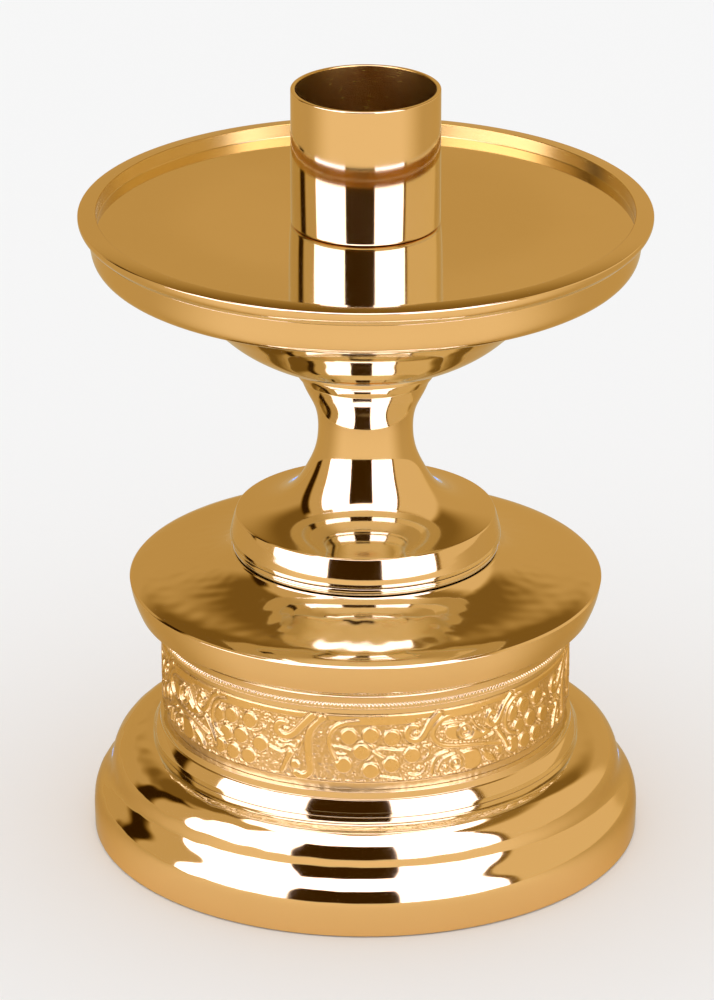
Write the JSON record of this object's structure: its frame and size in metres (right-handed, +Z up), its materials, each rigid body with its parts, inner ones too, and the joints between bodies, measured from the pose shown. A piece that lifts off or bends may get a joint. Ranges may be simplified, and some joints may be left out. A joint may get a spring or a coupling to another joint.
{
  "type": "altar candlestick",
  "caption": "Low brass altar candlestick: stepped round base, drum with a cast vine frieze, turned stem, wide drip pan and a straight candle socket, clamped on a central rod.",
  "frame": {"origin": "centre of the underside, on the surface that the candlestick stands on", "axes": "+Z up along the axis of the stem and the candle; X and Y lie in the standing surface, and the piece is round about Z"},
  "size_m": [0.1562, 0.1563, 0.2164],
  "materials": {
    "polished_brass": "mirror polished and lacquered",
    "cast_brass": "cast relief on a stippled ground, highlights polished",
    "zinc_steel": "zinc plated",
    "cast_iron": "rough casting, painted black",
    "felt": "green wool felt"
  },
  "bodies": {
    "root": {"base_shell": "polished_brass", "base_weight": "cast_iron", "bottom_disc": "zinc_steel", "felt_pad": "felt", "frieze_foot_ring": "polished_brass", "frieze_band": "cast_brass", "beaded_collar": "polished_brass", "cover_plate": "polished_brass", "drum_spacer": "zinc_steel", "stem_foot_ring": "polished_brass", "stem": "polished_brass", "stem_collar": "polished_brass", "pan_cup": "polished_brass", "cup_spacer": "zinc_steel", "pan_shell": "polished_brass", "pan_spacer": "zinc_steel", "drip_pan": "polished_brass", "candle_socket": "polished_brass", "socket_washer": "zinc_steel", "socket_nut": "zinc_steel", "tie_rod": "zinc_steel", "bottom_washer": "zinc_steel", "lock_washer": "zinc_steel", "bottom_nut": "zinc_steel"}
  },
  "joints": []
}
